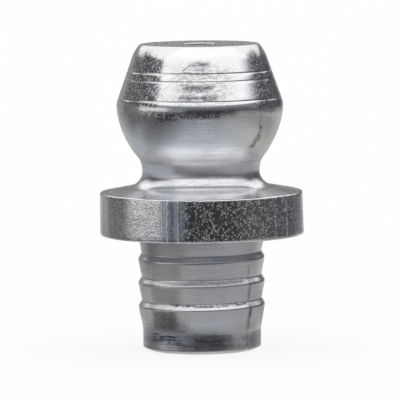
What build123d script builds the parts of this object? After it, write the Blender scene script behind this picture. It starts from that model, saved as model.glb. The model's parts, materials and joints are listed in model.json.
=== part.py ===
"""Drive-in grease nipple: turned body, spring-loaded check ball and its coil spring.

The body is one turned piece. From the top down it has a flat top with a small grease mouth,
a cone, a narrow land at its widest, a ball-shaped flank that a coupler grips behind, a neck,
a flange and a barbed shank that is pressed into a plain drilled hole. A stepped passage runs
through it: mouth, conical ball seat, bore for the ball and its spring, and a counterbore whose
thin wall is turned in at the foot as a lip. The spring stands on that lip and holds the ball
against its seat.

Millimetres. +Z is the nipple's axis and points to the head. The origin is on the axis at the
underside of the flange, the face that seats on the machine.
"""

from build123d import *
import math
import os

# Lengths along the axis, from the flange up and from the flange down
FLANGE_THICKNESS = 1.66
NECK_LENGTH = 1.20  # flange top to the lower edge of the flank
FLANK_LENGTH = 2.09  # neck to the land
HEAD_LAND = 0.18  # narrow cylindrical band at the head's widest
CROWN_LENGTH = 2.31  # land to the flat top
SHANK_LENGTH = 4.49  # flange underside to the foot

# Head
HEAD_DIA = 6.50  # the standard head that couplers are made for
CONE_HALF_ANGLE = 19.4  # degrees
TOP_FLAT_DIA = 4.58
TOP_ROUND_DROP = 0.52  # the top edge is rounded from this far below the flat
FLANK_RADIUS = 3.76
NECK_DIA = 4.60
NECK_FILLET = 0.90

# Flange
FLANGE_DIA = 7.90
FLANGE_TOP_BREAK = 0.03
FLANGE_FOOT_BREAK = 0.06

# Barbed shank, for a drilled hole of 4.76 mm (3/16 in)
BARB_DIA = 4.93
BARB_ROOT_DIA = 4.68
BARB_PITCH = 0.92
BARB_COUNT = 3
BARB_LAND = 0.06  # narrow cylindrical crest
BARB_STEP = 0.20  # axial length of the face that climbs from a root to the next crest
PILOT_DIA = 4.61
PILOT_LENGTH = 0.71  # plain lead-in between the last taper and the foot's turned-in edge
FOOT_DIA = 4.08
FOOT_EDGE_LENGTH = 0.12  # axial length of the foot's turned-in edge

# Grease passage
MOUTH_DIA = 1.20
MOUTH_BREAK = 0.05
MOUTH_LENGTH = 0.40  # from the flat top to the seat
SEAT_HALF_ANGLE = 45.0  # degrees
BORE_DIA = 2.40
COUNTERBORE_DIA = 3.00
COUNTERBORE_LENGTH = 0.70
DRILL_HALF_ANGLE = 59.0  # degrees, the cone that the counterbore's drill leaves
LIP_THICKNESS = 0.34
LIP_HOLE_DIA = 1.50
LIP_BREAK = 0.10
OVERCUT = 0.5  # the cutter runs this far past each end of the body

# Check valve
BALL_DIA = 2.00
SEAT_CLEARANCE = 0.02  # between the resting ball and its seat
WIRE_DIA = 0.30
SPRING_OUTER_DIA = 2.10
SPRING_TURNS = 10
CLOSED_TURNS = 1.0  # turns at each end that lie against the next one
CLOSED_TURN_GAP = 0.01
BLEND_TURNS = 0.5  # from the closed pitch to the open one
POINTS_PER_TURN = 8
SPRING_BALL_CLEARANCE = 0.03
SPRING_LIP_CLEARANCE = 0.02

# Levels on the axis
flange_top = FLANGE_THICKNESS
neck_top = flange_top + NECK_LENGTH
land_bottom = neck_top + FLANK_LENGTH
land_top = land_bottom + HEAD_LAND
head_top = land_top + CROWN_LENGTH
foot = -SHANK_LENGTH
lip_top = foot + LIP_THICKNESS

# The ball hangs below the seat's apex, and the spring's wire rests against the ball from below
seat_slope = math.radians(SEAT_HALF_ANGLE)
seat_top = head_top - MOUTH_LENGTH
seat_apex = seat_top + MOUTH_DIA / 2 / math.tan(seat_slope)
seat_bottom = seat_apex - BORE_DIA / 2 / math.tan(seat_slope)
ball_centre = seat_apex - (BALL_DIA / 2 + SEAT_CLEARANCE) / math.sin(seat_slope)
coil_radius = (SPRING_OUTER_DIA - WIRE_DIA) / 2
wire_to_ball = (BALL_DIA + WIRE_DIA) / 2 + SPRING_BALL_CLEARANCE
spring_low = lip_top + SPRING_LIP_CLEARANCE + WIRE_DIA / 2
spring_high = ball_centre - math.sqrt(wire_to_ball**2 - coil_radius**2)


def corner(sketch, radius, level):
    """Return the sketch's corner nearest to a radius and a level."""
    return sketch.vertices().sort_by_distance((radius, level))[0]


def barbs():
    """Return the shank's outline from the flange's underside to its pilot.

    Each barb is a ring with a narrow crest, a taper that narrows downwards to the root, and a
    short step that climbs to the next crest. The flange's underside cuts the first crest in two.
    """
    crest = BARB_DIA / 2
    points = [(crest, 0), (crest, -BARB_LAND / 2)]
    for number in range(1, BARB_COUNT + 1):
        crest_top = BARB_LAND / 2 - number * BARB_PITCH
        points.append((BARB_ROOT_DIA / 2, crest_top + BARB_STEP))
        points.append((crest, crest_top))
        points.append((crest, crest_top - BARB_LAND))
    points.append((PILOT_DIA / 2, foot + FOOT_EDGE_LENGTH + PILOT_LENGTH))
    return points


def turned_blank():
    """Turn the body's outside: one half outline swept about the axis."""
    cone_slope = math.radians(CONE_HALF_ANGLE)
    land = HEAD_DIA / 2
    neck = NECK_DIA / 2
    rim = FLANGE_DIA / 2
    flat_edge = (TOP_FLAT_DIA / 2, head_top)
    cone_length = CROWN_LENGTH - TOP_ROUND_DROP
    cone_top = (land - cone_length * math.tan(cone_slope), land_top + cone_length)
    foot_edge = (PILOT_DIA / 2, foot + FOOT_EDGE_LENGTH)
    with BuildPart() as blank:
        with BuildSketch(Plane.XZ) as half:
            with BuildLine():
                Line((0, head_top), flat_edge)
                TangentArc(cone_top, flat_edge, tangent=(-math.tan(cone_slope), 1))
                Polyline(cone_top, (land, land_top), (land, land_bottom))
                RadiusArc((land, land_bottom), (neck, neck_top), FLANK_RADIUS)
                Polyline((neck, neck_top), (neck, flange_top), (rim, flange_top), (rim, 0))
                Polyline((rim, 0), *barbs(), foot_edge, (FOOT_DIA / 2, foot), (0, foot), (0, head_top))
            make_face()
            fillet(corner(half, neck, flange_top), NECK_FILLET)
            chamfer(corner(half, rim, flange_top), FLANGE_TOP_BREAK)
            chamfer(corner(half, rim, 0), FLANGE_FOOT_BREAK)
        revolve(axis=Axis.Z)
    return blank.part


def stepped_passage():
    """Turn the cutter for the grease passage, which widens from the mouth down to the lip."""
    mouth = MOUTH_DIA / 2
    flare = mouth + MOUTH_BREAK + OVERCUT
    bore = BORE_DIA / 2
    counterbore = COUNTERBORE_DIA / 2
    counterbore_top = lip_top + COUNTERBORE_LENGTH
    drill_cone = (counterbore - bore) / math.tan(math.radians(DRILL_HALF_ANGLE))
    lip = LIP_HOLE_DIA / 2
    flared_lip = lip + LIP_BREAK + OVERCUT
    with BuildPart() as cutter:
        with BuildSketch(Plane.XZ):
            with BuildLine():
                Polyline(
                    (0, head_top + OVERCUT),
                    (flare, head_top + OVERCUT),
                    (mouth, head_top - MOUTH_BREAK),
                    (mouth, seat_top),
                    (bore, seat_bottom),
                    (bore, counterbore_top + drill_cone),
                    (counterbore, counterbore_top),
                    (counterbore, lip_top),
                    (lip, lip_top),
                    (lip, foot + LIP_BREAK),
                    (flared_lip, foot - OVERCUT),
                    (0, foot - OVERCUT),
                    (0, head_top + OVERCUT),
                )
            make_face()
        revolve(axis=Axis.Z)
    return cutter.part


def nipple_body():
    """The one-piece body: the turned blank with its passage drilled and its lip turned in."""
    return turned_blank() - stepped_passage()


def check_ball():
    """The ball that closes the mouth from inside."""
    return Pos(0, 0, ball_centre) * Sphere(BALL_DIA / 2)


def rise_per_turn(turn):
    """Return the wire's rise per turn, at a turn counted from the spring's foot.

    The end turns lie against the next one, the turns between are open, and a smooth step blends
    the two. The open rise is what makes the spring fill its space.
    """
    closed_rise = WIRE_DIA + CLOSED_TURN_GAP
    open_height = spring_high - spring_low - 2 * CLOSED_TURNS * closed_rise
    open_rise = open_height / (SPRING_TURNS - 2 * CLOSED_TURNS)
    from_end = min(turn, SPRING_TURNS - turn)
    share = min(max((from_end - CLOSED_TURNS) / BLEND_TURNS + 0.5, 0), 1)
    return closed_rise + (open_rise - closed_rise) * share * share * (3 - 2 * share)


def spring():
    """Wind the coil spring: a round wire along a helix whose end turns are closed."""
    route = []
    level = spring_low
    for step in range(SPRING_TURNS * POINTS_PER_TURN + 1):
        angle = 2 * math.pi * step / POINTS_PER_TURN
        route.append((coil_radius * math.cos(angle), coil_radius * math.sin(angle), level))
        level += rise_per_turn((step + 0.5) / POINTS_PER_TURN) / POINTS_PER_TURN
    path = Spline(route)
    section = Plane(origin=path @ 0, z_dir=path % 0) * Circle(WIRE_DIA / 2)
    return sweep(section, path=path, is_frenet=True)


PIECES = {
    "nipple_body": nipple_body,
    "check_ball": check_ball,
    "spring": spring,
}

os.makedirs("parts", exist_ok=True)
for name, make in PIECES.items():
    export_step(make(), f"parts/{name}.step")

travel = spring_high - spring_low - SPRING_TURNS * WIRE_DIA
print(f"ball centre {ball_centre:.4f}, wire centres {spring_low:.4f} to {spring_high:.4f}")
print(f"ball travel until the spring is solid {travel:.4f}")
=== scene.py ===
# %% [markdown]
# # A drive-in grease nipple
#
# A grease nipple is a small one-way valve. A grease gun's coupler clips over its ball-shaped
# head, grease pushes a steel ball off its seat and runs down the middle, and a coil spring pushes
# the ball back when the gun stops. The barbed shank is hammered into a plain hole.
#
# The object has three pieces: one turned and zinc-plated body, one ball and one spring. This
# lesson works out each of them as a surface with numpy, dresses them as metal, and sets them in a
# small studio.

# %% Load the frame
import json
from collections import namedtuple
from math import asin, cos, degrees, pi, radians, sin, sqrt, tan

import bmesh
import bpy
import numpy as np
from mathutils import Matrix, Vector
from numpy.linalg import norm


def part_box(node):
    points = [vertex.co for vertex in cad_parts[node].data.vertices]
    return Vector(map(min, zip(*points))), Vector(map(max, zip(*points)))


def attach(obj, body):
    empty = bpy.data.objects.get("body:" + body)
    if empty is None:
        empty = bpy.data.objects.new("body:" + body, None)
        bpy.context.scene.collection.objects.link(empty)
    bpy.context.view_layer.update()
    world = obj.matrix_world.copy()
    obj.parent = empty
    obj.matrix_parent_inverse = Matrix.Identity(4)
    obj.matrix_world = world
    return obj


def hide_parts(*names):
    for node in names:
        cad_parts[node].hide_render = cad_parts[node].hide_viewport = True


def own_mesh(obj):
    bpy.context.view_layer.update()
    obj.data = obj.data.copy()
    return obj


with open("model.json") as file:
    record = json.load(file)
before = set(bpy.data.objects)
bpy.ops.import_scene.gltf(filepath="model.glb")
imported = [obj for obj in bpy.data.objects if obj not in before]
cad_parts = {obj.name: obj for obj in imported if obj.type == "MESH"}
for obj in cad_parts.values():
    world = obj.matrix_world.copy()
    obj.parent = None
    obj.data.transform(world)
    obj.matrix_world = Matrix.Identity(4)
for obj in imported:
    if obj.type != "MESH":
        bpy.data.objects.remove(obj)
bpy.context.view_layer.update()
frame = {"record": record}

MM = 0.001  # the scene is in metres, and sizes are easier to think about in millimetres
record = frame["record"]
mounts = {mount["name"]: mount for mount in record["mounts"]}
body_low, body_high = (np.array(corner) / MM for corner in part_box("nipple_body"))
ball_low, ball_high = (np.array(corner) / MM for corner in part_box("check_ball"))
spring_low, spring_high = (np.array(corner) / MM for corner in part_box("spring"))
print("body from", body_low.round(3), "to", body_high.round(3), "mm")

# %% [markdown]
# ## A surface of revolution
#
# The body was cut on a lathe, so it starts as one outline, spun about the axis. Blender's Screw
# modifier could spin a curve, but we want more than a perfect spin: a burr, tool marks and a
# flange that sits a hair off centre. So we keep the surface as arrays of radii and heights, with a
# row for each point of the outline and a column for each direction round the axis, and change
# those. The outline is a chain of straight runs and arcs.

# %% Runs and arcs of an outline
FINE = 0.01  # mm between the outline's points


def run(start, end):
    """Points along a straight run: start plus a growing share of the way to end."""
    start, end = np.array(start, float), np.array(end, float)
    count = max(int(np.hypot(*(end - start)) / FINE), 2)
    share = np.linspace(0, 1, count, endpoint=False)[:, None]
    return start + share * (end - start)


def arc(centre, radius, first, last):
    """Points along an arc: the centre plus the radius times (cosine, sine) of a turning angle.

    Angles are in degrees. 0 points away from the axis and 90 points up.
    """
    count = max(int(radius * abs(radians(last - first)) / FINE), 2)
    turn = np.radians(np.linspace(first, last, count, endpoint=False))
    return np.array(centre) + radius * np.stack([np.cos(turn), np.sin(turn)], axis=1)


# %% [markdown]
# ## The body's outline
#
# Read it from the top: a flat face with a small mouth, a shoulder, a cone, a narrow land, a
# ball-shaped flank that the coupler's jaws grip behind, a neck, the flange, and three barbs above
# a plain pilot. Inside it goes up again: a lip, the counterbore, the bore and the ball's seat. The
# main sizes come from the frame and the record, and the rest are named here.

# %% The body's outline
top, foot = body_high[2], body_low[2]
rim_radius = body_high[0]
crest_radius = mounts["drive_shank"]["dims"]["r_mm"]
head_radius = mounts["grease_head"]["dims"]["r_mm"]
land_middle = mounts["grease_head"]["pos_m"][2] / MM

LAND_TOP = 0.11  # above the middle of the mount's land
CONE_ANGLE = 19.4  # degrees from the axis
SHOULDER_RADIUS = 1.45
SHOULDER_DROP = 0.52  # from the flat face down to where the shoulder's round ends
LAND_ROUND = 0.85  # the cone turns into the land through this radius
LAND_LEFT = 0.02  # what the rounding leaves of the land
UPPER_FLANK = (3.223, 4.73)  # where the flank's tighter upper part ends
FLANK_RADIUS = 3.76
FLANK_CENTRE = (-0.477, 5.399)
NECK_CORNER = 2.898  # where the flank runs into the neck
WAIST = (2.283, 2.50)
# the hollow from the flank to the flange's top in arcs: radius, and the turn each one starts at
HOLLOW = ((3.00, -14.4), (0.67, -8.6), (0.60, 0.0), (0.635, 20.0))
HOLLOW_END = 78.5  # the turn at which it runs on straight, gently down to the rim
FLANGE_TOP = 1.66
RIM_FOOT_ROUND = 0.09
ROOT_RADIUS = 2.34
BARB_PITCH = 0.92
BARB_COUNT = 3
CREST = 0.06
BARB_STEP = 0.20
PILOT_RADIUS = 2.305
PILOT_TOP = foot + 0.83
FOOT_EDGE = 0.12
FOOT_RADIUS = 2.04

MOUTH_RADIUS = 0.60
MOUTH_BREAK = 0.03
SEAT_TOP = top - 0.40
SEAT_BOTTOM = SEAT_TOP - 0.60
BORE_RADIUS = 1.20
COUNTERBORE_RADIUS = 1.50
LIP_TOP = foot + 0.34
COUNTERBORE_TOP = LIP_TOP + 0.70
DRILL_CONE = 0.18
LIP_RADIUS = 0.75
LIP_BREAK = 0.10

ZONES = ("face", "head", "flank", "fillet", "rim", "seat", "barbs", "shank", "passage")


def hollow():
    """The hollow between flank and flange: arcs laid end to end, then moved onto the waist.

    Each arc starts where the last one ended, so its centre is that point less the radius times
    the arc's first direction. The waist is where the turn is 0.
    """
    turns = [turn for _, turn in HOLLOW] + [HOLLOW_END]
    pieces, end, waist = [], np.zeros(2), None
    for (radius, _), first, last in zip(HOLLOW, turns, turns[1:]):
        leave, reach = (np.radians(180 + turn) for turn in (first, last))
        centre = end - radius * np.array([np.cos(leave), np.sin(leave)])
        pieces.append(arc(centre, radius, 180 + first, 180 + last))
        end = centre + radius * np.array([np.cos(reach), np.sin(reach)])
        if last == 0:
            waist = end
    return np.vstack(pieces) + np.array(WAIST) - waist


def outline():
    """The body's closed outline as (radius, height) points in mm, and the zone of each point."""
    slope = tan(radians(CONE_ANGLE))
    cosine, sine = cos(radians(CONE_ANGLE)), sin(radians(CONE_ANGLE))
    land_top = land_middle + LAND_TOP
    cone_length = top - SHOULDER_DROP - land_top
    cone_top = np.array([head_radius - cone_length * slope, land_top + cone_length])
    shoulder = cone_top - SHOULDER_RADIUS * np.array([cosine, sine])
    shoulder_start = degrees(asin((top - shoulder[1]) / SHOULDER_RADIUS))
    flat_edge = shoulder[0] + SHOULDER_RADIUS * cos(radians(shoulder_start))
    setback = LAND_ROUND * tan(radians(CONE_ANGLE / 2))
    cone_foot = (head_radius - setback * sine, land_top + setback * cosine)
    land_centre = (head_radius - LAND_ROUND, land_top - setback)
    land_bottom = land_top - setback - LAND_LEFT
    flank_first = degrees(asin((UPPER_FLANK[1] - FLANK_CENTRE[1]) / FLANK_RADIUS))
    upper_radius = (land_bottom - UPPER_FLANK[1]) / -sin(radians(flank_first))
    upper_centre = (
        UPPER_FLANK[0] - upper_radius * cos(radians(flank_first)),
        land_bottom,
    )
    flank_last = degrees(asin((NECK_CORNER - FLANK_CENTRE[1]) / FLANK_RADIUS))
    rim_round = (rim_radius - RIM_FOOT_ROUND, RIM_FOOT_ROUND)
    parts = [
        ("passage", run((BORE_RADIUS, SEAT_BOTTOM), (MOUTH_RADIUS, SEAT_TOP))),
        ("passage", run((MOUTH_RADIUS, SEAT_TOP), (MOUTH_RADIUS, top - MOUTH_BREAK))),
        ("head", run((MOUTH_RADIUS, top - MOUTH_BREAK), (MOUTH_RADIUS + MOUTH_BREAK, top))),
        ("face", run((MOUTH_RADIUS + MOUTH_BREAK, top), (flat_edge, top))),
        ("head", arc(shoulder, SHOULDER_RADIUS, shoulder_start, CONE_ANGLE)),
        ("head", run(cone_top, cone_foot)),
        ("head", arc(land_centre, LAND_ROUND, CONE_ANGLE, 0)),
        ("head", run((head_radius, land_top - setback), (head_radius, land_bottom))),
        ("flank", arc(upper_centre, upper_radius, 0, flank_first)),
        ("flank", arc(FLANK_CENTRE, FLANK_RADIUS, flank_first, flank_last)),
        ("fillet", hollow()),
        ("fillet", run(hollow()[-1], (rim_radius, FLANGE_TOP))),
        ("rim", run((rim_radius, FLANGE_TOP), (rim_radius, RIM_FOOT_ROUND))),
        ("rim", arc(rim_round, RIM_FOOT_ROUND, 0, -90)),
        ("seat", run((rim_round[0], 0), (crest_radius, 0))),
        ("barbs", run((crest_radius, 0), (crest_radius, -CREST / 2))),
    ]
    last = (crest_radius, -CREST / 2)
    for number in range(1, BARB_COUNT + 1):
        crest = CREST / 2 - number * BARB_PITCH
        for point in (
            (ROOT_RADIUS, crest + BARB_STEP),
            (crest_radius, crest),
            (crest_radius, crest - CREST),
        ):
            parts.append(("barbs", run(last, point)))
            last = point
    for zone, point in (
        ("barbs", (PILOT_RADIUS, PILOT_TOP)),
        ("shank", (PILOT_RADIUS, foot + FOOT_EDGE)),
        ("shank", (FOOT_RADIUS, foot)),
        ("shank", (LIP_RADIUS + LIP_BREAK, foot)),
        ("passage", (LIP_RADIUS, foot + LIP_BREAK)),
        ("passage", (LIP_RADIUS, LIP_TOP)),
        ("passage", (COUNTERBORE_RADIUS, LIP_TOP)),
        ("passage", (COUNTERBORE_RADIUS, COUNTERBORE_TOP)),
        ("passage", (BORE_RADIUS, COUNTERBORE_TOP + DRILL_CONE)),
        ("passage", (BORE_RADIUS, SEAT_BOTTOM)),
    ):
        parts.append((zone, run(last, point)))
        last = point
    points = np.vstack([points for _, points in parts])
    zones = np.concatenate([np.full(len(points), ZONES.index(zone)) for zone, points in parts])
    return points, zones


points, zones = outline()
print("outline:", len(points), "points,", round(float(len(points) * FINE), 1), "mm long")

# %% [markdown]
# ## Broken edges and tool marks
#
# No edge of a turned and plated part is perfectly sharp: tumbling and plating round it by a few
# hundredths of a millimetre. A moving average along the outline does just that, and the round
# edge catches a thin line of light.
#
# The tool has left three fine grooves on the cone. Each is a dip in the outline shaped like a bell
# curve, about a hundredth of a millimetre deep. That is too little to see in the silhouette, but
# one wall of a groove faces the light and the other the dark.

# %% Soften the outline and cut the grooves
EDGE_BREAK = 0.022  # mm, the spread of the moving average
# height, depth and spread of each groove on the outside of the head, in mm
GROOVES = (
    (6.408, 0.0110, 0.026),
    (6.108, 0.0060, 0.024),
    (5.355, 0.0090, 0.026),
)


def softened(points, spread):
    """The closed outline after a bell-shaped moving average, spread mm wide."""
    reach = int(4 * spread / FINE)  # past four spreads the bell is next to nothing
    bell = np.exp(-0.5 * (np.arange(-reach, reach + 1) * FINE / spread) ** 2)
    bell /= bell.sum()
    wrapped = np.vstack([points[-reach:], points, points[:reach]])
    return np.stack([np.convolve(wrapped[:, axis], bell, "valid") for axis in (0, 1)], axis=1)


def grooved(points, zones):
    """The outline with each groove: radius less depth times exp(-(distance / spread)^2)."""
    made = points.copy()
    on_head = np.isin(zones, [ZONES.index("head"), ZONES.index("flank")])
    for level, depth, spread in GROOVES:
        dip = depth * np.exp(-(((points[:, 1] - level) / spread) ** 2))
        made[:, 0] -= np.where(on_head, dip, 0)
    return made


def directions(points):
    """Unit normals of the closed outline, pointing out of the metal.

    The normal is the tangent, which is the difference of the two neighbours, turned by a right
    angle, to the side on which the outermost point's normal leads away from the axis.
    """
    tangent = np.roll(points, -1, axis=0) - np.roll(points, 1, axis=0)
    tangent /= norm(tangent, axis=1)[:, None]
    normal = np.stack([-tangent[:, 1], tangent[:, 0]], axis=1)
    return normal * np.sign(normal[np.argmax(points[:, 0]), 0])


# corners rounder than the rest: place on the outside (radius, height), reach and spread
ROUNDER = (
    ((2.33, 2.90), 0.45, 0.095),
    ((PILOT_RADIUS, PILOT_TOP), 0.30, 0.060),
    ((rim_radius, FLANGE_TOP), 0.14, 0.038),
    ((MOUTH_RADIUS, top), 0.18, 0.010),
)
soft = softened(points, EDGE_BREAK)
for place, reach, spread in ROUNDER:
    away = norm(points - place, axis=1)
    # all of the rounding up to a third of the reach, and none from the reach on
    share = np.clip(1.5 - 1.5 * away / reach, 0, 1)[:, None]
    soft = soft + share * (softened(points, spread) - soft)
soft = grooved(soft, zones)
print("the softened outline reaches", soft.max(axis=0).round(3), "mm")

# %% [markdown]
# ## Rows where they are needed
#
# The fine outline spun all the way round would be too heavy. So each row takes an equal share of
# a "need" that grows with the distance and with the bend. The passage is seldom seen and gets few.

# %% Choose the rows
ROWS = 412
COLUMNS = 240
PLAIN_SPACING = 0.085  # mm between rows on a plain stretch
INSIDE_SPACING = 0.35
INSIDE_WEIGHT = 0.25  # how much a bend in the passage counts
BEND_NEED = 9.0  # rows for each radian that the outline turns


def rows_by_need(points, zones, rows):
    """Row positions that share out the need evenly, as whole-number places in the outline."""
    step = norm(np.roll(points, -1, axis=0) - points, axis=1)
    normal = directions(points)
    bend = norm(np.roll(normal, -1, axis=0) - normal, axis=1)
    inside = (zones == ZONES.index("passage")) & (points[:, 1] < SEAT_TOP)
    spacing = np.where(inside, INSIDE_SPACING, PLAIN_SPACING)
    weight = np.where(inside, INSIDE_WEIGHT, 1.0)
    need = np.cumsum(step / spacing + weight * BEND_NEED * bend)
    return np.unique(np.searchsorted(need, np.linspace(0, need[-1], rows, endpoint=False)))


chosen = rows_by_need(soft, zones, ROWS)
along = np.concatenate([[0], np.cumsum(norm(np.diff(soft, axis=0), axis=1))])
print("rows:", len(chosen), "columns:", COLUMNS, "triangles:", 2 * len(chosen) * COLUMNS)

# %% [markdown]
# ## Spin it, with the small faults of a real one
#
# Now every row becomes a ring. A part that was turned fast isn't perfect: the flange sits a hair
# to one side and its rim flares downwards there, the barbs' rings lean a little, and the flange's
# upper corner has the thin, uneven burr that the tool pushed up.

# %% Spin the outline
FLANGE_OFFSET = 0.018  # mm towards +X
RIM_FLARE = 0.045
BARB_LEAN = 0.030
BURR = 0.009
BURR_MEAN, BURR_SWING, BURR_OUTWARD = 0.55, 0.45, 0.4
BURR_WAVES = range(17, 71, 3)  # round the rim
BURR_SEED = 7
# where these faults act: from, to and how soft, in mm of height or of radius
NEAR_NECK = (-0.3, 3.2, 0.9)
ON_RIM = (3.2, 9.0, 0.4)
ON_BARBS = (-3.25, -0.45, 0.5)
CORNER_RADII = (rim_radius - 0.13, 9.0, 0.08)
CORNER_HEIGHTS = (1.62, 2.0, 0.06)


def smooth(share):
    """0 below 0, 1 above 1 and between them the smooth step 3 share^2 - 2 share^3."""
    share = np.clip(share, 0, 1)
    return share * share * (3 - 2 * share)


def window(value, low, high, soft):
    """1 between low and high and 0 outside, through smooth steps soft wide."""
    return smooth((value - low) / soft + 0.5) * smooth((high - value) / soft + 0.5)


def round_noise(turn, waves, seed):
    """A wavy line round the axis, about -1 to 1: a sum of cosines with random phases."""
    chance = np.random.default_rng(seed)
    total = np.zeros_like(turn)
    for wave in waves:
        total += chance.normal() * np.cos(wave * turn + chance.uniform(0, 2 * np.pi))
    return total / sqrt(len(waves))


turn = np.linspace(0, 2 * np.pi, COLUMNS, endpoint=False)[None, :]
radius, height = soft[chosen, 0][:, None], soft[chosen, 1][:, None]
outside = (zones[chosen] != ZONES.index("passage"))[:, None]
rightness = np.clip(np.sin(turn), 0, 1)
near_neck = outside * window(height, *NEAR_NECK)
on_rim = outside * window(radius, *ON_RIM)
flare = RIM_FLARE * rightness * on_rim * np.clip(1 - height / FLANGE_TOP, 0, 1)
on_barbs = outside * window(height, *ON_BARBS)
upper_corner = outside * window(radius, *CORNER_RADII) * window(height, *CORNER_HEIGHTS)
uneven = BURR_MEAN + BURR_SWING * round_noise(turn, BURR_WAVES, BURR_SEED)
burr = BURR * upper_corner * uneven
radius = radius + flare + BURR_OUTWARD * burr
height = height + BARB_LEAN * np.sin(turn) * on_barbs + burr
# the angle is measured from the front, which is the -Y side, towards +X
across = radius * np.sin(turn) + FLANGE_OFFSET * near_neck
depth = -radius * np.cos(turn)
places = np.stack([across, depth, height], axis=-1).reshape(-1, 3)
print("places:", len(places), "the burr is up to", round(float(burr.max()), 4), "mm high")

# %% [markdown]
# ## Put it into a mesh
#
# A mesh is a list of places and, for each face, the numbers of its corners. Our rows and columns
# both close on themselves, so no edge is open, and a positive volume tells that the faces look
# outwards. Each face gets the number of its zone's finish.

# %% The body
def closed_grid(rows, columns):
    """Corner numbers of the quads of a grid whose rows and columns both close on themselves."""
    number = np.arange(rows * columns).reshape(rows, columns)
    right = np.roll(number, -1, axis=1)
    below = np.roll(number, -1, axis=0)
    return np.stack([number, below, np.roll(below, -1, axis=1), right], axis=-1).reshape(-1, 4)


def put(name, data):
    """An object in the scene."""
    made = bpy.data.objects.new(name, data)
    bpy.context.scene.collection.objects.link(made)
    return made


def make_piece(name, places, faces):
    """A smooth mesh object from places in mm and lists of corner numbers."""
    mesh = bpy.data.meshes.new(name)
    mesh.from_pydata((np.asarray(places) * MM).tolist(), [], faces)
    mesh.shade_smooth()
    mesh.update()
    return put(name, mesh)


def signed_volume(piece):
    """The piece's volume in mm3, below 0 if its faces look inwards."""
    shell = bmesh.new()
    shell.from_mesh(piece.data)
    volume = shell.calc_volume(signed=True) / MM**3
    shell.free()
    return volume


body = make_piece("turned_body", places, closed_grid(len(chosen), COLUMNS).tolist())
face_zone = np.repeat(zones[chosen], COLUMNS)
body.data.polygons.foreach_set("material_index", face_zone.astype(np.int32))
ring_place = body.data.attributes.new("ring_place", "FLOAT", "POINT")
ring_place.data.foreach_set("value", np.repeat(along[chosen], COLUMNS).astype(np.float32))
print("body volume", round(signed_volume(body), 2), "mm3")

# %% [markdown]
# ## The ball
#
# Behind the mouth sits a 2 mm bearing ball. A sphere needs only its latitudes and longitudes, and
# each pole is a single point with a fan of triangles round it.

# %% The check ball
BALL_RINGS, BALL_COLUMNS = 46, 96
ball_middle = (ball_low + ball_high) / 2
ball_radius = (ball_high[2] - ball_low[2]) / 2


def closed_between_poles(rings, columns):
    """Faces of rings of corners between two poles, which are the first point and the last."""
    number = 1 + np.arange(rings * columns).reshape(rings, columns)
    right = np.roll(number, -1, axis=1)
    quads = np.stack([number[:-1], right[:-1], right[1:], number[1:]], axis=-1).reshape(-1, 4)
    last = rings * columns + 1
    first_fan = np.stack([np.zeros(columns, int), right[0], number[0]], axis=-1)
    last_fan = np.stack([np.full(columns, last), number[-1], right[-1]], axis=-1)
    return quads.tolist() + first_fan.tolist() + last_fan.tolist()


latitude = np.linspace(-np.pi / 2, np.pi / 2, BALL_RINGS + 2)[1:-1, None]
longitude = np.linspace(0, 2 * np.pi, BALL_COLUMNS, endpoint=False)[None, :]
rings = np.stack(
    [
        np.cos(latitude) * np.cos(longitude),
        np.cos(latitude) * np.sin(longitude),
        np.sin(latitude) * np.ones_like(longitude),
    ],
    axis=-1,
).reshape(-1, 3)
sphere = np.vstack([[0, 0, -1], rings, [0, 0, 1]]) * ball_radius + ball_middle
ball = make_piece("bearing_ball", sphere, closed_between_poles(BALL_RINGS, BALL_COLUMNS))
if signed_volume(ball) < 0:
    ball.data.flip_normals()
print("ball", round(2 * ball_radius, 3), "mm, volume", round(signed_volume(ball), 3), "mm3")

# %% [markdown]
# ## The spring
#
# The spring is wire carried along a helix. Its end turns lie close together, and the turns between
# them are open. So the rise is a smooth blend from the closed one to the open one, and adding it
# up along the wire gives the height. The wire's round section stands square to the path.

# %% The coil spring
WIRE_RADIUS = 0.15
SPRING_TURNS = 10
SQUASH_ROOM = 0.04  # room between the top turn and the ball, which must not meet it
CLOSED_TURNS = 1  # at each end
CLOSED_RISE = 0.31
BLEND_TURNS = 0.5
STEPS_PER_TURN = 40
WIRE_SIDES = 16
coil_radius = spring_high[0] - WIRE_RADIUS
wire_low, wire_high = spring_low[2] + WIRE_RADIUS, spring_high[2] - WIRE_RADIUS - SQUASH_ROOM

turns = np.linspace(0, SPRING_TURNS, SPRING_TURNS * STEPS_PER_TURN + 1)
from_end = np.minimum(turns, SPRING_TURNS - turns)
share = smooth((from_end - CLOSED_TURNS) / BLEND_TURNS + 0.5)
gain = np.concatenate([[0], np.cumsum((share[1:] + share[:-1]) / 2 * np.diff(turns))])
open_extra = (wire_high - wire_low - CLOSED_RISE * SPRING_TURNS) / gain[-1]
level = wire_low + CLOSED_RISE * turns + open_extra * gain
swing = 2 * np.pi * turns
outward = np.stack([np.cos(swing), np.sin(swing), 0 * swing], axis=-1)
path = coil_radius * outward + level[:, None] * [0, 0, 1]
forward = np.gradient(path, axis=0)
forward /= norm(forward, axis=1)[:, None]
upward = np.cross(forward, outward)
upward /= norm(upward, axis=1)[:, None]
around = np.linspace(0, 2 * np.pi, WIRE_SIDES, endpoint=False)[None, :, None]
ring = outward[:, None] * np.cos(around) + upward[:, None] * np.sin(around)
wire = (path[:, None] + WIRE_RADIUS * ring).reshape(-1, 3)
wire = np.vstack([path[:1], wire, path[-1:]])
coil = make_piece("coil_spring", wire, closed_between_poles(len(turns), WIRE_SIDES))
if signed_volume(coil) < 0:
    coil.data.flip_normals()
length = norm(np.diff(path, axis=0), axis=1).sum()
print("spring of", SPRING_TURNS, "turns and", round(float(length), 1), "mm of wire")
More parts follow.
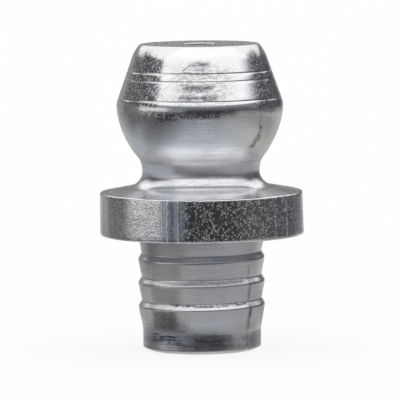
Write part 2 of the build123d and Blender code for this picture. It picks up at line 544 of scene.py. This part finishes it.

# %% [markdown]
# ## What moves
#
# The body and the spring stay with the fitting. The ball moves, so it rides on a body of its own,
# and the spring gets a mesh of its own.

# %% Let the pieces ride
for piece, rides_on, node, finish in (
    (body, "fitting", "nipple_body", "body_steel"),
    (ball, "ball", "check_ball", "ball_steel"),
    (coil, "fitting", "spring", "spring_steel"),
):
    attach(piece, rides_on)
    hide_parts(node)
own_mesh(coil)

# %% [markdown]
# ## Helpers for node trees
#
# Materials and the world are built of nodes. A few small helpers keep that readable: one adds a
# node and fills its sockets, and the others use it for sums, smooth steps, noise and colours.

# %% Node helpers
def add(tree, kind, sockets=None, **settings):
    """A shader node with its settings, and its sockets set to values or linked to outputs."""
    made = tree.nodes.new("ShaderNode" + kind)
    for name, value in settings.items():
        setattr(made, name, value)
    for name, value in (sockets or {}).items():
        socket = made.inputs[name]
        if isinstance(value, bpy.types.NodeSocket):
            tree.links.new(value, socket)
        else:  # a colour also says how opaque it is
            socket.default_value = (*value, 1) if socket.type == "RGBA" else value
    return made


def maths(tree, operation, *values, kind="Math"):
    """The output of a Math or VectorMath node."""
    return add(tree, kind, dict(enumerate(values)), operation=operation).outputs[0]


def times(tree, first, second):
    """The product of two numbers or outputs."""
    return maths(tree, "MULTIPLY", first, second)


def scaled(tree, value, gain, base):
    """A value times a gain, plus a base."""
    return maths(tree, "MULTIPLY_ADD", value, gain, base)


def rest(tree, share):
    """What a share leaves: 1 less the share."""
    return maths(tree, "SUBTRACT", 1.0, share)


def rise(tree, value, middle, soft):
    """0 well below middle and 1 well above, with a smooth step soft wide between."""
    sockets = {"Value": value, "From Min": middle - soft / 2, "From Max": middle + soft / 2}
    return add(tree, "MapRange", sockets, interpolation_type="SMOOTHSTEP").outputs[0]


def mixed(tree, factor, first, second):
    """The colour output of a Mix node: first at factor 0, second at factor 1."""
    sockets = {"Factor": factor, 6: first, 7: second}
    return add(tree, "Mix", sockets, data_type="RGBA").outputs[2]


def noise(tree, place, scale, detail, roughness=0.5):
    """The outputs of a Noise Texture with about scale lumps per unit of place."""
    sockets = {"Vector": place, "Scale": scale, "Detail": detail, "Roughness": roughness}
    return add(tree, "TexNoise", sockets).outputs


def split(tree, place):
    """The X, Y and Z outputs of a place."""
    return add(tree, "SeparateXYZ", {0: place}).outputs


def off_axis(tree, axes):
    """The distance from the Z axis: the length of (X, Y, 0)."""
    flat = add(tree, "CombineXYZ", {0: axes["X"], 1: axes["Y"], 2: 0.0}).outputs[0]
    return add(tree, "VectorMath", {0: flat}, operation="LENGTH").outputs["Value"]


def emptied(owner):
    """The node tree of a material or world, with nothing in it."""
    owner.use_nodes = True
    owner.node_tree.nodes.clear()
    return owner.node_tree


def metal(name):
    """A metal material, its tree, its shader's sockets and the place on the object in mm."""
    material = bpy.data.materials.new(name)
    material.use_nodes = True
    tree = material.node_tree
    sockets = tree.nodes["Principled BSDF"].inputs
    sockets["Metallic"].default_value = 1
    place = add(tree, "TexCoord").outputs["Object"]
    place = add(tree, "VectorMath", {0: place, "Scale": 1 / MM}, operation="SCALE")
    return material, tree, sockets, place.outputs[0]


def glow_over(tree, share, shader, colour):
    """The material's output: a shader, with a share of it taken by a glow of a colour."""
    glow = add(tree, "Emission", {"Color": colour, "Strength": 1.0})
    sockets = {0: share, 1: shader.outputs[0], 2: glow.outputs[0]}
    add(tree, "OutputMaterial", {"Surface": add(tree, "MixShader", sockets).outputs[0]})


# %% [markdown]
# ## Zinc on turned steel
#
# Bright zinc is a mirror spoiled in three ways. Its crystals, a tenth of a millimetre across, fill
# a dark reflection with bright glints and a bright one with dark specks. Under them the turning
# tool has left fine rings. And handling has left stains, where the metal is duller and darker.
#
# The first two are height, so they go through a Bump node in millimetres. The mesh carries its
# place along the outline as an attribute, "ring_place": a noise that changes fast with it and
# slowly with X and Y is drawn out round the axis, as the rings are.

# %% A finish for each zone
# heights of rings, crystals and ripple (mm), crystals per mm, the frosted share of them and its
# roughness, the roughness between them and what a stain adds, two tints
Finish = namedtuple(
    "Finish", "rings crystals ripple density frosted frost rough spread clean stained"
)
FINISHES = {
    "face": (0.0015, 0.006, 0.004, 10, 0.38, 0.55, 0.18, 0.12,
        (0.54, 0.54, 0.55), (0.38, 0.38, 0.39)),
    "head": (0.0003, 0.003, 0.002, 9.5, 0.36, 0.25, 0.09, 0.05,
        (0.9, 0.9, 0.91), (0.8, 0.81, 0.83)),
    "flank": (0.0001, 0.0008, 0.004, 12, 0.34, 0.04, 0.24, 0.1,
        (0.82, 0.83, 0.85), (0.75, 0.76, 0.77)),
    "fillet": (0.0016, 0.0008, 0.004, 9, 0.08, 0.2, 0.18, 0.08,
        (0.92, 0.925, 0.945), (0.84, 0.85, 0.88)),
    "rim": (0, 0.0055, 0.002, 12, 0.42, 0.42, 0.07, 0.06, (0.88, 0.88, 0.89), (0.68, 0.68, 0.69)),
    # the flange's underside: its dark tints are painted shade, for the shadow under the flange
    "seat": (0.002, 0.004, 0.002, 8, 0.3, 0.4, 0.3, 0.12, (0.46, 0.46, 0.47), (0.32, 0.32, 0.33)),
    "barbs": (0.0004, 0.001, 0.004, 9, 0.08, 0.2, 0.24, 0.12,
        (0.85, 0.85, 0.87), (0.76, 0.76, 0.78)),
    "shank": (0.0016, 0.003, 0.004, 9, 0.2, 0.25, 0.22, 0.12,
        (0.84, 0.85, 0.88), (0.66, 0.66, 0.7)),
    # the inside of the bore: its near-black tints are painted shade, for the dark inside the hole
    "passage": (0.002, 0.002, 0.002, 8, 0.2, 0.5, 0.34, 0.14,
        (0.13, 0.125, 0.12), (0.08, 0.075, 0.07)),
}
print("finishes:", ", ".join(FINISHES))

# %% [markdown]
# ## Marks
#
# A mark is a small box with soft edges. Its kind says what it does to the metal: some are stains,
# and some have rubbed the crystals off. With a depth it is also a dent, or a bump below 0.

# %% Where the marks are
# tint at full strength, how much of the crystals it has worn away, the roughness it adds
KINDS = {
    "grey": ((0.130, 0.135, 0.145), 0.0, 0.22),
    "brown": ((0.150, 0.135, 0.120), 0.0, 0.22),
    "straw": ((0.640, 0.590, 0.430), 0.0, 0.22),
    "navy": ((0.050, 0.062, 0.100), 0.0, 0.06),
    "rubbed": ((0.700, 0.750, 0.840), 0.8, 0.0),
    "polished": ((0.905, 0.910, 0.920), 0.85, 0.0),
    "scuffed": ((0.900, 0.920, 0.960), 0.0, 0.45),
}
# degrees round from the front, height (mm; on the flat top the radius), half length and half width
# (mm), turn from level (degrees), soft edge (mm), strength, depth (mm) and how broken up
Mark = namedtuple(
    "Mark", "kind degrees level half_length half_width turn edge strength deep broken"
)
MARKS = {}
# the press's feed has rubbed the cone's front
MARKS["head"] = (
    ("polished", 7, 6.2, 1.75, 1.2, 0, 0.6, 0.85, 0, 0.15),
    ("grey", 0.5, 6.77, 0.36, 0.1, 0, 0.22, 1, 0, 0.5),
    ("grey", -1, 6.55, 0.24, 0.05, 0, 0.12, 0.7, 0, 0.8),
    ("grey", -2, 6.44, 0.6, 0.03, 0, 0.06, 0.9, 0, 0.6),
    ("grey", 4, 6.27, 0.2, 0.05, 0, 0.08, 0.5, 0, 0.8),
    ("grey", -1.5, 5.88, 0.6, 0.12, 0, 0.24, 1, 0, 0.4),
    ("grey", -14, 6, 0.28, 0.04, 0, 0.08, 0.5, 0, 0.9),
    ("grey", -1, 5.52, 0.78, 0.08, 0, 0.18, 1, 0, 0.5),
    ("grey", -22, 5.46, 0.3, 0.04, 0, 0.08, 0.5, 0, 0.9),
    ("grey", 2, 6, 1.2, 0.75, 0, 0.7, 0.5, 0, 0.95),
    ("grey", -10.4, 6.64, 0.19, 0.01, 38, 0.03, 0.7, 0.006, 0),
    ("grey", 4, 6.27, 0.03, 0.03, 0, 0.03, 0.8, 0.006, 0),
)
# a nick in the edge of the flat top
MARKS["face"] = (
    ("grey", -102, 2.16, 0.05, 0.05, 0, 0.04, 1, 0.02, 0),
)
# a dull place on the neck, and the last rings of the tool below it
MARKS["fillet"] = (
    ("scuffed", -58, 2.66, 1.1, 0.22, 0, 0.4, 0.95, 0, 0),
    ("grey", 0, 2.2, 99, 0.12, 0, 0.2, 0.3, 0, 0.7),
    ("grey", 20, 2.05, 1.3, 0.01, 0, 0.05, 0.3, 0, 0.6),
)
# faint brown patches low on the left and in front, and a knock near the right side
MARKS["flank"] = (
    ("brown", -38, 4.05, 0.4, 0.22, 0, 0.35, 0.28, 0, 0.8),
    ("brown", -22, 3.95, 0.3, 0.16, 0, 0.3, 0.16, 0, 0.8),
    ("brown", 8, 4.4, 0.3, 0.2, 0, 0.3, 0.1, 0, 0.9),
    ("grey", 47, 4.6, 0.24, 0.05, 84, 0.1, 0.5, 0.004, 0.5),
    ("grey", 48.6, 4.33, 0.08, 0.06, 0, 0.16, 1, 0.003, 0),
    ("grey", 49.2, 4.12, 0.16, 0.05, 78, 0.16, 0.8, 0.003, 0.3),
    ("grey", 47.2, 3.8, 0.24, 0.09, 66, 0.26, 0.85, 0.003, 0.4),
    ("grey", 45.5, 3.57, 0.14, 0.05, 0, 0.18, 0.95, 0.003, 0.2),
    ("straw", 50.5, 3.84, 0.11, 0.11, 0, 0.08, 0.9, -0.012, 0),
)
# brown spots where the part was held, and streaks down the shank
MARKS["barbs"] = (
    ("grey", 50, -1.4, 0.35, 0.06, 90, 0.12, 0.45, 0.002, 0.6),
    ("grey", 50, -2.1, 0.34, 0.06, 90, 0.18, 0.85, 0.002, 0.5),
    ("grey", 50.5, -2.86, 0.24, 0.075, 90, 0.18, 1, 0.003, 0.3),
    ("grey", 49.5, -3.26, 0.34, 0.07, 90, 0.18, 0.95, 0.002, 0.5),
    ("brown", -37, -1.3, 0.7, 0.32, 0, 0.28, 0.32, 0, 0.3),
    ("brown", -37, -2.22, 0.66, 0.34, 0, 0.28, 0.45, 0, 0.3),
    ("brown", -38, -3.18, 0.6, 0.4, 0, 0.26, 0.75, 0, 0.2),
    ("grey", -33, -3.16, 0.4, 0.36, 0, 0.24, 0.6, 0, 0.6),
    ("brown", -24, -2.3, 0.4, 2.2, 0, 0.6, 0.12, 0, 0.3),
    ("rubbed", 22, -2, 0.9, 1.6, 0, 0.6, 0.35, 0, 0),
    ("grey", 8, -2.56, 1.6, 0.045, 0, 0.06, 1, 0.004, 0.7),
    ("grey", 14, -1.66, 1.2, 0.06, 0, 0.3, 0.8, 0.002, 0.6),
)
# dark bluish patches above the foot
MARKS["shank"] = (
    ("grey", 49, -3.85, 0.4, 0.05, 90, 0.1, 0.6, 0.002, 0.5),
    ("scuffed", -24, -3.86, 0.6, 0.18, 0, 0.24, 1, 0, 0.8),
    ("scuffed", 36, -3.9, 0.6, 0.24, 0, 0.24, 0.6, 0, 1),
    ("navy", 6, -3.86, 1, 0.17, 0, 0.26, 0.85, 0, 0.6),
    ("navy", -2, -4.14, 1.4, 0.08, 0, 0.2, 0.9, 0, 0.9),
    ("navy", -38, -3.9, 0.75, 0.22, 0, 0.24, 1, 0, 0.9),
    ("straw", 0, -4.36, 99, 0.025, 0, 0.05, 0.75, 0, 0.5),
)
# a flat that the chuck's jaw left down the rim, with a ridge each side of it
MARKS["rim"] = (
    ("rubbed", -15.4, 0.83, 0.9, 0.34, 90, 0.14, 0.6, 0, 0.5),
    ("grey", -21.3, 0.83, 0.9, 0.015, 90, 0.07, 0.75, 0.006, 0.8),
    ("scuffed", -18.8, 0.83, 0.9, 0.02, 90, 0.07, 0.8, -0.008, 0.5),
    ("navy", -16.6, 0.83, 0.9, 0.06, 90, 0.14, 0.8, 0, 0.7),
    ("scuffed", -13, 0.83, 0.9, 0.04, 90, 0.08, 1, -0.006, 0.5),
    ("grey", -9.8, 0.83, 0.9, 0.01, 90, 0.05, 0.6, 0.005, 0.9),
    ("rubbed", -35.5, 0.83, 0.9, 0.06, 90, 0.14, 0.4, 0, 0.3),
    ("scuffed", 46, 0.83, 0.9, 0.04, 90, 0.12, 0.6, 0, 0.5),
    ("scuffed", 56, 0.83, 0.9, 0.06, 90, 0.14, 0.6, 0, 0.4),
    ("grey", -4, 0.85, 0.3, 0.16, 80, 0.2, 0.8, 0, 0.3),
    ("straw", 29.5, 0.91, 0.13, 0.012, 0, 0.03, 0.5, -0.004, 0),
)
print("marks:", {zone: len(rows) for zone, rows in MARKS.items()})

# %% [markdown]
# ## Draw the marks
#
# Distances from a mark's middle are measured on the surface and turned with the mark. The place
# wavers a little first, so that only a thin scratch is straight, and blotches break the mark up.

# %% Marks as nodes
END_SOFT = 1.4  # a mark's ends are softer than its sides by this factor
WAVER = 0.16  # mm that a mark's outline wanders at the most
WAVER_DENSITY = 3.0  # lumps per mm
THIN = 0.02  # mm, the half width under which a mark is a straight scratch
BLOTCH_STEP = (0.5, 0.24)  # where the blotches' noise turns from gap to mark, and how gently


def polar(tree, place):
    """Bearing from the front in radians, distance from the axis and height of a place."""
    axes = split(tree, place)
    bearing = maths(tree, "ARCTAN2", axes["X"], times(tree, axes["Y"], -1.0))
    return bearing, off_axis(tree, axes), axes["Z"]


def wavering(tree, place):
    """The place plus WAVER times (noise less a half) in each direction."""
    drift = noise(tree, place, WAVER_DENSITY, 3.0)["Color"]
    drift = maths(tree, "SUBTRACT", drift, [0.5] * 3, kind="VectorMath")
    return maths(tree, "MULTIPLY_ADD", drift, [WAVER] * 3, place, kind="VectorMath")


def share_of(tree, mark, bearing, radius, up):
    """1 where both the distance along the mark and the distance across it are short, else 0."""
    cosine, sine = cos(radians(mark.turn)), sin(radians(mark.turn))
    off = maths(tree, "SUBTRACT", bearing, radians(mark.degrees))
    aside = times(tree, off, radius)
    above = maths(tree, "SUBTRACT", up, mark.level)
    lengthwise = scaled(tree, aside, cosine, times(tree, above, sine))
    crosswise = scaled(tree, above, cosine, times(tree, aside, -sine))
    share = 1.0
    for distance, half, soft in (
        (lengthwise, mark.half_length, END_SOFT * mark.edge),
        (crosswise, mark.half_width, mark.edge),
    ):
        beyond = rise(tree, maths(tree, "ABSOLUTE", distance), half, soft)
        share = times(tree, share, rest(tree, beyond))
    return share


def marks_on(tree, zone, place, blotches, colour):
    """The colour with the zone's marks on it, how dull they are, how worn and how high."""
    unsteady, steady = polar(tree, wavering(tree, place)), polar(tree, place)
    dull = worn = height = 0.0
    for mark in (Mark(*row) for row in MARKS.get(zone, ())):
        bearing, radius, up = steady if mark.half_width < THIN else unsteady
        if zone == "face":  # on the flat top, the way out takes the height's place
            up = radius
        share = share_of(tree, mark, bearing, radius, up)
        if mark.broken:
            kept = scaled(tree, rise(tree, blotches, *BLOTCH_STEP), mark.broken, 1 - mark.broken)
            share = times(tree, share, kept)
        tint, wear, dulling = KINDS[mark.kind]
        strong = times(tree, share, mark.strength)
        colour = mixed(tree, strong, colour, tint)
        worn = maths(tree, "MAXIMUM", worn, times(tree, share, wear))
        dull = maths(tree, "MAXIMUM", dull, times(tree, strong, dulling))
        if mark.deep:
            height = scaled(tree, share, -mark.deep, height)
    return colour, dull, worn, height


# %% [markdown]
# ## The plating
#
# Everything meets here. Rings, crystals and a slow ripple are added up into one height. Frosted
# crystals, stains and marks make the surface rougher. The flank's upper part takes the head's
# look, so that no line shows between the two, and the neck is duller, because a file smoothed it.

# %% The zinc finish
NOISE_ROUGHNESS = 0.6
RING_STRETCH = (0.5, 14.0)  # round the axis and along the outline
PLAIN_STREAKS = (3.0, 16.0, 0.4)  # the same for the blotches, and the crystals' part in them
STREAKS = {"shank": (1.4, 34.0, 0.25), "rim": (11.0, 2.5, 0.45), "barbs": (10.0, 6.0, 0.6)}
RIPPLES, STAINS = 1.1, 0.9  # per mm
STAIN_MIX = (0.6, 0.7)  # parts of the rings and of the stains
STAIN_STEP = (0.68, 0.22)
LIKE_HEAD = (4.62, 0.40)  # the height (mm) from which the flank looks like the head, how softly
NECK_DULL = (2.42, 3.25, 0.17)  # from and to (mm), and the roughness it adds there
NECK_SOFT = (0.3, 0.5)  # mm, the soft edges of that band
FROST_EDGE = 0.12
RIM_PATCHES = (4.0, 0.56, 0.20)  # per mm, and the step that makes patches of the rim's frost
DOTS_FROM = 0.3  # the share from which the biggest crystals stand out as round dots
DOT_SIZE = 1.45  # the biggest, in distances between crystals, for a share of 1
DOT_EDGE = 0.22


def like_head(tree, finish, height):
    """The flank's finish: its own low down and the head's from LIKE_HEAD upwards."""
    head = FINISHES["head"]
    upper = rise(tree, height, *LIKE_HEAD)
    parts = {}
    for number, part in enumerate(Finish._fields):
        own = finish[number]
        if part in ("rings", "crystals", "frost", "rough"):
            parts[part] = scaled(tree, upper, head[number] - own, own)
        elif part in ("clean", "stained"):
            parts[part] = mixed(tree, upper, own, head[number])
    return finish._replace(**parts)


def frosting(tree, name, finish, place, grains):
    """How frosted the crystals are: the grains above a level, and the biggest ones as dots."""
    frosty = rise(tree, grains, 0.5 + 0.5 * (0.5 - finish.frosted), FROST_EDGE)
    if name == "rim":
        density, middle, soft = RIM_PATCHES
        patches = noise(tree, place, density, 1.0, NOISE_ROUGHNESS)["Fac"]
        frosty = times(tree, frosty, rise(tree, patches, middle, soft))
    if finish.frosted > DOTS_FROM:
        cells = add(tree, "TexVoronoi", {"Vector": place, "Scale": finish.density})
        size = times(tree, cells.outputs["Color"], DOT_SIZE * finish.frosted)
        inside = maths(tree, "SUBTRACT", size, cells.outputs["Distance"])
        frosty = maths(tree, "MAXIMUM", frosty, rise(tree, inside, 0.0, DOT_EDGE))
    return frosty


def zinc(name):
    """A zinc finish by its row in FINISHES: three heights added into one bump, and stains."""
    finish = Finish(*FINISHES[name])
    material, tree, shader, place = metal("zinc_" + name)
    axes = split(tree, place)
    ring = add(tree, "Attribute", attribute_name="ring_place").outputs["Fac"]

    def drawn_out(round_about, along, detail):
        """A noise on a place that counts X and Y for less than the place along the outline."""
        sockets = {
            0: times(tree, axes["X"], round_about),
            1: times(tree, axes["Y"], round_about),
            2: times(tree, ring, along),
        }
        vector = add(tree, "CombineXYZ", sockets).outputs[0]
        return noise(tree, vector, 1.0, detail, NOISE_ROUGHNESS)["Fac"]

    if name == "flank":
        finish = like_head(tree, finish, axes["Z"])
    ring_lines = drawn_out(*RING_STRETCH, 3.0)
    grains = noise(tree, place, finish.density, 2.0, NOISE_ROUGHNESS)["Fac"]
    waves = noise(tree, place, RIPPLES, 1.0, NOISE_ROUGHNESS)["Fac"]
    stain = noise(tree, place, STAINS, 4.0, NOISE_ROUGHNESS)["Fac"]
    round_about, along_it, grainy = STREAKS.get(name, PLAIN_STREAKS)
    blotches = times(tree, drawn_out(round_about, along_it, 4.0), 1 - grainy)
    blotches = scaled(tree, grains, grainy, blotches)

    streaked = scaled(tree, ring_lines, STAIN_MIX[0], times(tree, stain, STAIN_MIX[1]))
    dull = rise(tree, streaked, *STAIN_STEP)
    colour = mixed(tree, dull, finish.clean, finish.stained)
    colour, marked, worn, dented = marks_on(tree, name, place, blotches, colour)
    tree.links.new(colour, shader["Base Color"])

    unworn = rest(tree, worn)
    height = times(tree, times(tree, grains, unworn), finish.crystals)
    height = scaled(tree, ring_lines, finish.rings, height)
    height = scaled(tree, waves, finish.ripple, height)
    height = maths(tree, "ADD", height, dented)
    bump = add(tree, "Bump", {"Height": height, "Distance": MM, "Strength": 1.0})
    tree.links.new(bump.outputs[0], shader["Normal"])

    rough = scaled(tree, dull, finish.spread, finish.rough)
    rough = maths(tree, "ADD", marked, rough)
    if name in ("flank", "fillet"):
        low, high, duller = NECK_DULL
        below = rest(tree, rise(tree, axes["Z"], high, NECK_SOFT[1]))
        near_neck = times(tree, below, rise(tree, axes["Z"], low, NECK_SOFT[0]))
        rough = scaled(tree, near_neck, duller, rough)
    frosty = times(tree, frosting(tree, name, finish, place, grains), unworn)
    rough = scaled(tree, frosty, finish.frost, rough)
    tree.links.new(rough, shader["Roughness"])
    return material


for zone in ZONES:
    body.data.materials.append(zinc(zone))
print("materials:", ", ".join(material.name for material in body.data.materials))

# %% [markdown]
# ## Ball and wire
#
# The ball is ground and polished. The wire is a little rougher, and a little dark oil keeps both
# from rusting.

# %% The ball's and the spring's steel
STEEL_GRAIN = 0.001  # mm, the height of the finest scratches
OIL_DENSITY = 1.7  # patches per mm
OIL_STEP = (0.5, 0.3)
OIL_SHADE, OIL_ROUGHNESS = 0.7, 0.12


def oiled_steel(name, colour, roughness, density):
    """Steel with a fine grain, density lumps per mm, and a film of oil that darkens it."""
    material, tree, shader, place = metal(name)
    fine = noise(tree, place, density, 3.0)["Fac"]
    sockets = {"Height": fine, "Distance": STEEL_GRAIN * MM, "Strength": 1.0}
    tree.links.new(add(tree, "Bump", sockets).outputs[0], shader["Normal"])
    film = rise(tree, noise(tree, place, OIL_DENSITY, 4.0)["Fac"], *OIL_STEP)
    darker = tuple(OIL_SHADE * part for part in colour)
    tree.links.new(mixed(tree, film, colour, darker), shader["Base Color"])
    rough = scaled(tree, film, OIL_ROUGHNESS, roughness)
    tree.links.new(rough, shader["Roughness"])
    return material


ball.data.materials.append(oiled_steel("polished_ball", (0.80, 0.80, 0.82), 0.08, 6.0))
coil.data.materials.append(oiled_steel("drawn_wire", (0.55, 0.55, 0.56), 0.28, 12.0))
print("steel:", ball.data.materials[0].name, "and", coil.data.materials[0].name)

# %% [markdown]
# ## The studio
#
# Polished metal has hardly any colour of its own: it shows what stands round it. Such a part is
# lit with one big soft light overhead and dark cards in front, so that its curves read as bands of
# light and dark. We paint that studio into the world as soft-edged cards by compass and height.

# %% Cards round the object
world = bpy.data.worlds.new("studio")
bpy.context.scene.world = world
tree = emptied(world)
BACKDROP = (0.30, 0.30, 0.31)
# name, compass middle, half width and softness, low and high edge and softness, colour
CARDS = (
    ("backdrop foot", 180, 40, 30, -40, -2, 8, (0.55, 0.55, 0.54)),
    ("floor sheet", 0, 999, 10, -99, -22, 8, (0.43, 0.45, 0.48)),
    ("floor, left", -72, 30, 26, -46, -19, 10, (0.23, 0.235, 0.24)),
    ("floor, right", 120, 70, 60, -99, -10, 14, (0.51, 0.505, 0.49)),
    ("near floor", 0, 999, 10, -99, -50, 12, (0.58, 0.62, 0.69)),
    ("dark table", -60, 30, 20, -35, -4, 8, (0.066, 0.068, 0.078)),
    ("dark room", -10, 62, 16, -25, 3, 6, (0.036, 0.037, 0.041)),
    ("dark room, left", -96, 30, 14, -24, 3, 6, (0.125, 0.125, 0.13)),
    ("right wall", 84, 52, 24, -26, -14, 8, (0.27, 0.27, 0.27)),
    ("dark room, right", 84, 44, 24, -9, 3, 8, (0.065, 0.065, 0.07)),
    ("room wall", 20, 60, 24, 3, 14, 5, (0.1, 0.1, 0.11)),
    ("room wall, upper", 0, 90, 30, 13, 31, 8, (0.21, 0.21, 0.22)),
    ("left window", -73, 30, 12, -7, 14, 5, (0.7, 0.7, 0.71)),
    ("window edge", -33, 12, 10, -8, 15, 5, (0.22, 0.24, 0.27)),
    ("left card", -122, 30, 14, -12, 18, 8, (0.145, 0.15, 0.155)),
    ("left lamp", -145, 12, 8, -10, 8, 5, (0.32, 0.32, 0.32)),
    ("left card, upper", -91, 26, 8, 13, 30, 6, (0.075, 0.08, 0.085)),
    ("left card, corner", -120, 14, 14, 11, 20, 6, (0.1, 0.105, 0.11)),
    ("right card", 122, 36, 14, -6, 24, 8, (0.07, 0.07, 0.085)),
    ("light tent", 0, 999, 10, 31, 99, 6, (1, 1, 1)),
    ("light tent, behind", 180, 52, 14, 17, 78, 6, (1, 1, 1)),
    ("behind, low", 180, 20, 12, 4, 22, 6, (0.17, 0.17, 0.175)),
    ("softbox", 16, 84, 5, 25, 50, 6, (1.06, 1.06, 1.07)),
    ("softbox, upper", 16, 84, 5, 46, 80, 8, (1.12, 1.12, 1.12)),
)

toward = add(tree, "TexCoord").outputs["Generated"]
axes = split(tree, toward)
to_front = times(tree, axes["Y"], -1.0)
compass = times(tree, maths(tree, "ARCTAN2", axes["X"], to_front), 180 / pi)
level = times(tree, maths(tree, "ARCSINE", axes["Z"]), 180 / pi)
colour = BACKDROP
for name, middle, half, side_soft, low, high, soft, shade in CARDS:
    # the way round from the card's middle, the shorter way, whichever side it is on
    off = maths(tree, "WRAP", maths(tree, "SUBTRACT", compass, float(middle)), 180.0, -180.0)
    across = rest(tree, rise(tree, maths(tree, "ABSOLUTE", off), half, side_soft))
    up = rise(tree, level, low, soft)
    under = rest(tree, rise(tree, level, high, soft))
    share = times(tree, times(tree, across, up), under)
    colour = mixed(tree, share, colour, shade)
ray = add(tree, "LightPath").outputs
soft_light = mixed(tree, ray["Is Glossy Ray"], (1.0, 1.0, 1.0), colour)
seen = mixed(tree, ray["Is Camera Ray"], soft_light, (1.0, 1.0, 1.0))
background = add(tree, "Background", {"Color": seen, "Strength": 1.0})
add(tree, "OutputWorld", {"Surface": background.outputs[0]})
print("cards:", ", ".join(card[0] for card in CARDS))

# %% [markdown]
# ## The floor
#
# The part stands on white paper. Most of its white is a glow of its own, which runs on into the
# white round it without an edge. The rest is matt and takes the shadow.

# %% The floor
FLOOR_REACH = 3000.0  # mm
PAPER_WHITE = 0.96
PAPER_GLOW = 0.82  # the glow's share
side = np.array([(-1, -1), (1, -1), (1, 1), (-1, 1)]) * FLOOR_REACH
floor = make_piece("floor", [(x, y, foot) for x, y in side], [(0, 1, 2, 3)])
paper = bpy.data.materials.new("floor_paper")
tree = emptied(paper)
matt = add(tree, "BsdfDiffuse", {"Color": [PAPER_WHITE] * 3})
glow_over(tree, PAPER_GLOW, matt, (1, 1, 1))
floor.data.materials.append(paper)
floor.visible_glossy = False
print("floor at", round(float(foot), 3), "mm")

# %% [markdown]
# ## The paper close to the shank
#
# The world is painted by direction alone, as if everything stood far away. But the barbs see the
# paper under the shank from a few millimetres, while the head looks over it at the dark table. So
# a small glowing ring, a painted reflection of that paper, is shown to reflections only, and only
# to those that come from close by and don't fall steeply, which the length of the ray tells.

# %% Paper close to the shank
NEAR_INSIDE, NEAR_OUTSIDE = 3.8, 12.0  # mm round the axis
NEAR_LIFT = 0.5  # mm above the floor, so that the plain pilot looks under it
NEAR_RAY = 9.3  # mm, the longest ray that still sees the paper
NEAR_LEVEL = 0.66  # the least part of a ray's length that it goes outwards
NEAR_SOFT = (1.0, 0.1)  # how gently those two limits end
# the colour of the glow that paints the paper's reflection
NEAR_PAPER = (0.36, 0.36, 0.365)
NEAR_SIDES = 64
swing = np.linspace(0, 2 * np.pi, NEAR_SIDES, endpoint=False)
flat_ring = [
    np.stack([reach * np.cos(swing), reach * np.sin(swing), 0 * swing + foot + NEAR_LIFT], axis=1)
    for reach in (NEAR_INSIDE, NEAR_OUTSIDE)
]
number = np.arange(NEAR_SIDES)
next_one = np.roll(number, -1)
quads = np.stack([number, NEAR_SIDES + number, NEAR_SIDES + next_one, next_one], axis=1)
near_paper = make_piece("near_paper", np.vstack(flat_ring), quads.tolist())
near_paper.visible_camera = near_paper.visible_diffuse = near_paper.visible_shadow = False
near_look = bpy.data.materials.new("near_paper")
tree = emptied(near_look)
ray_length = maths(tree, "DIVIDE", add(tree, "LightPath").outputs["Ray Length"], MM)
spot = add(tree, "NewGeometry").outputs["Position"]
reach = off_axis(tree, split(tree, spot))
outwards = maths(tree, "SUBTRACT", maths(tree, "DIVIDE", reach, MM), ROOT_RADIUS)
close_by = rest(tree, rise(tree, ray_length, NEAR_RAY, NEAR_SOFT[0]))
levelled = rise(tree, maths(tree, "DIVIDE", outwards, ray_length), NEAR_LEVEL, NEAR_SOFT[1])
seen_here = times(tree, close_by, levelled)
glow_over(tree, seen_here, add(tree, "BsdfTransparent"), NEAR_PAPER)
near_paper.data.materials.append(near_look)
print("near paper from", NEAR_INSIDE, "to", NEAR_OUTSIDE, "mm off the axis")

# %% [markdown]
# ## The camera
#
# A long lens from a hand's width away, a little above the part, keeps its sides nearly parallel
# and still shows the flat top as a thin ellipse.

# %% The camera
CAMERA_DISTANCE = 172.08  # mm from the axis
CAMERA_HEIGHT = 16.88
AIM = (-0.030, 0.0, 1.33)
ROLL = 0.59  # degrees
LENS, SENSOR = 398.5, 36  # mm
camera_data = bpy.data.cameras.new("camera")
camera = put("camera", camera_data)
bpy.context.scene.camera = camera
camera_data.lens = LENS
camera_data.sensor_width = SENSOR
camera_data.clip_start = 0.01
spot = Vector((0, -CAMERA_DISTANCE, CAMERA_HEIGHT)) * MM
look = (Vector(AIM) * MM - spot).to_track_quat("-Z", "Y").to_matrix().to_4x4()
roll = Matrix.Rotation(radians(-ROLL), 4, "Z")
camera.matrix_world = Matrix.Translation(spot) @ look @ roll
print("camera", CAMERA_DISTANCE, "mm from the axis and", CAMERA_HEIGHT, "mm up")

# %% [markdown]
# ## The view
#
# The Standard view shows colours as they are.

# %% Finish
bpy.context.scene.view_settings.view_transform = "Standard"
